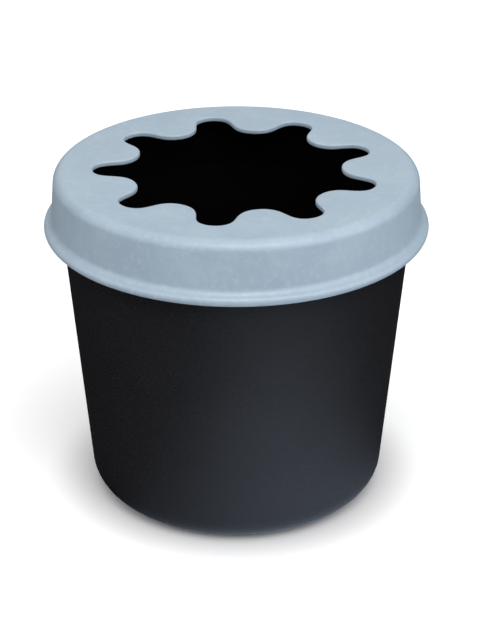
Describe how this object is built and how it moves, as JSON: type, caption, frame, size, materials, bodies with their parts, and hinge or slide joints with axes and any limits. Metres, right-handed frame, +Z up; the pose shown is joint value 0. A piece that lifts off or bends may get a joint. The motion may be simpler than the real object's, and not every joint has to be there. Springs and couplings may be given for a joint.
{
  "type": "cup with flexible-fingered lid",
  "caption": "Tapered round cup with a soft slip-on lid whose wavy opening has bending fingers that grip or wipe what is pushed through it.",
  "frame": {"origin": "centre of the foot, on the surface that the cup stands on", "axes": "+Z up, along the cup's axis; one of the lid's fingers has its tip on the +X side"},
  "size_m": [0.11, 0.11, 0.0987],
  "materials": {
    "cup_plastic": "fine matte grain, moulded",
    "lid_rubber": "soft matte silicone rubber, pale blue-grey"
  },
  "bodies": {
    "cup": {"cup_body": "cup_plastic"},
    "lid": {"lid_ring": "lid_rubber"},
    "finger_1": {"lid_finger_1": "lid_rubber"},
    "finger_2": {"lid_finger_2": "lid_rubber"},
    "finger_3": {"lid_finger_3": "lid_rubber"},
    "finger_4": {"lid_finger_4": "lid_rubber"},
    "finger_5": {"lid_finger_5": "lid_rubber"},
    "finger_6": {"lid_finger_6": "lid_rubber"},
    "finger_7": {"lid_finger_7": "lid_rubber"},
    "finger_8": {"lid_finger_8": "lid_rubber"},
    "finger_9": {"lid_finger_9": "lid_rubber"}
  },
  "joints": [
    {"name": "lid_lift", "type": "slide", "parent": "cup", "child": "lid", "axis": [0, 0, 1], "range_m": [0, 0.045]},
    {"name": "finger_1_bend", "type": "hinge", "parent": "lid", "child": "finger_1", "pos_m": [0.0364, 0, 0.09795], "axis": [0, -1, 0], "range_deg": [-40, 75], "stiffness_Nm_per_rad": 0.0017},
    {"name": "finger_2_bend", "type": "hinge", "parent": "lid", "child": "finger_2", "pos_m": [0.02788, 0.02339, 0.09795], "axis": [0.6428, -0.766, 0], "range_deg": [-40, 75], "stiffness_Nm_per_rad": 0.0017},
    {"name": "finger_3_bend", "type": "hinge", "parent": "lid", "child": "finger_3", "pos_m": [0.00632, 0.03584, 0.09795], "axis": [0.9848, -0.1736, 0], "range_deg": [-40, 75], "stiffness_Nm_per_rad": 0.0017},
    {"name": "finger_4_bend", "type": "hinge", "parent": "lid", "child": "finger_4", "pos_m": [-0.0182, 0.03152, 0.09795], "axis": [0.866, 0.5, 0], "range_deg": [-40, 75], "stiffness_Nm_per_rad": 0.0017},
    {"name": "finger_5_bend", "type": "hinge", "parent": "lid", "child": "finger_5", "pos_m": [-0.0342, 0.01245, 0.09795], "axis": [0.342, 0.9397, 0], "range_deg": [-40, 75], "stiffness_Nm_per_rad": 0.0017},
    {"name": "finger_6_bend", "type": "hinge", "parent": "lid", "child": "finger_6", "pos_m": [-0.0342, -0.01245, 0.09795], "axis": [-0.342, 0.9397, 0], "range_deg": [-40, 75], "stiffness_Nm_per_rad": 0.0017},
    {"name": "finger_7_bend", "type": "hinge", "parent": "lid", "child": "finger_7", "pos_m": [-0.0182, -0.03152, 0.09795], "axis": [-0.866, 0.5, 0], "range_deg": [-40, 75], "stiffness_Nm_per_rad": 0.0017},
    {"name": "finger_8_bend", "type": "hinge", "parent": "lid", "child": "finger_8", "pos_m": [0.00632, -0.03584, 0.09795], "axis": [-0.9848, -0.1736, 0], "range_deg": [-40, 75], "stiffness_Nm_per_rad": 0.0017},
    {"name": "finger_9_bend", "type": "hinge", "parent": "lid", "child": "finger_9", "pos_m": [0.02788, -0.02339, 0.09795], "axis": [-0.6428, -0.766, 0], "range_deg": [-40, 75], "stiffness_Nm_per_rad": 0.0017}
  ]
}
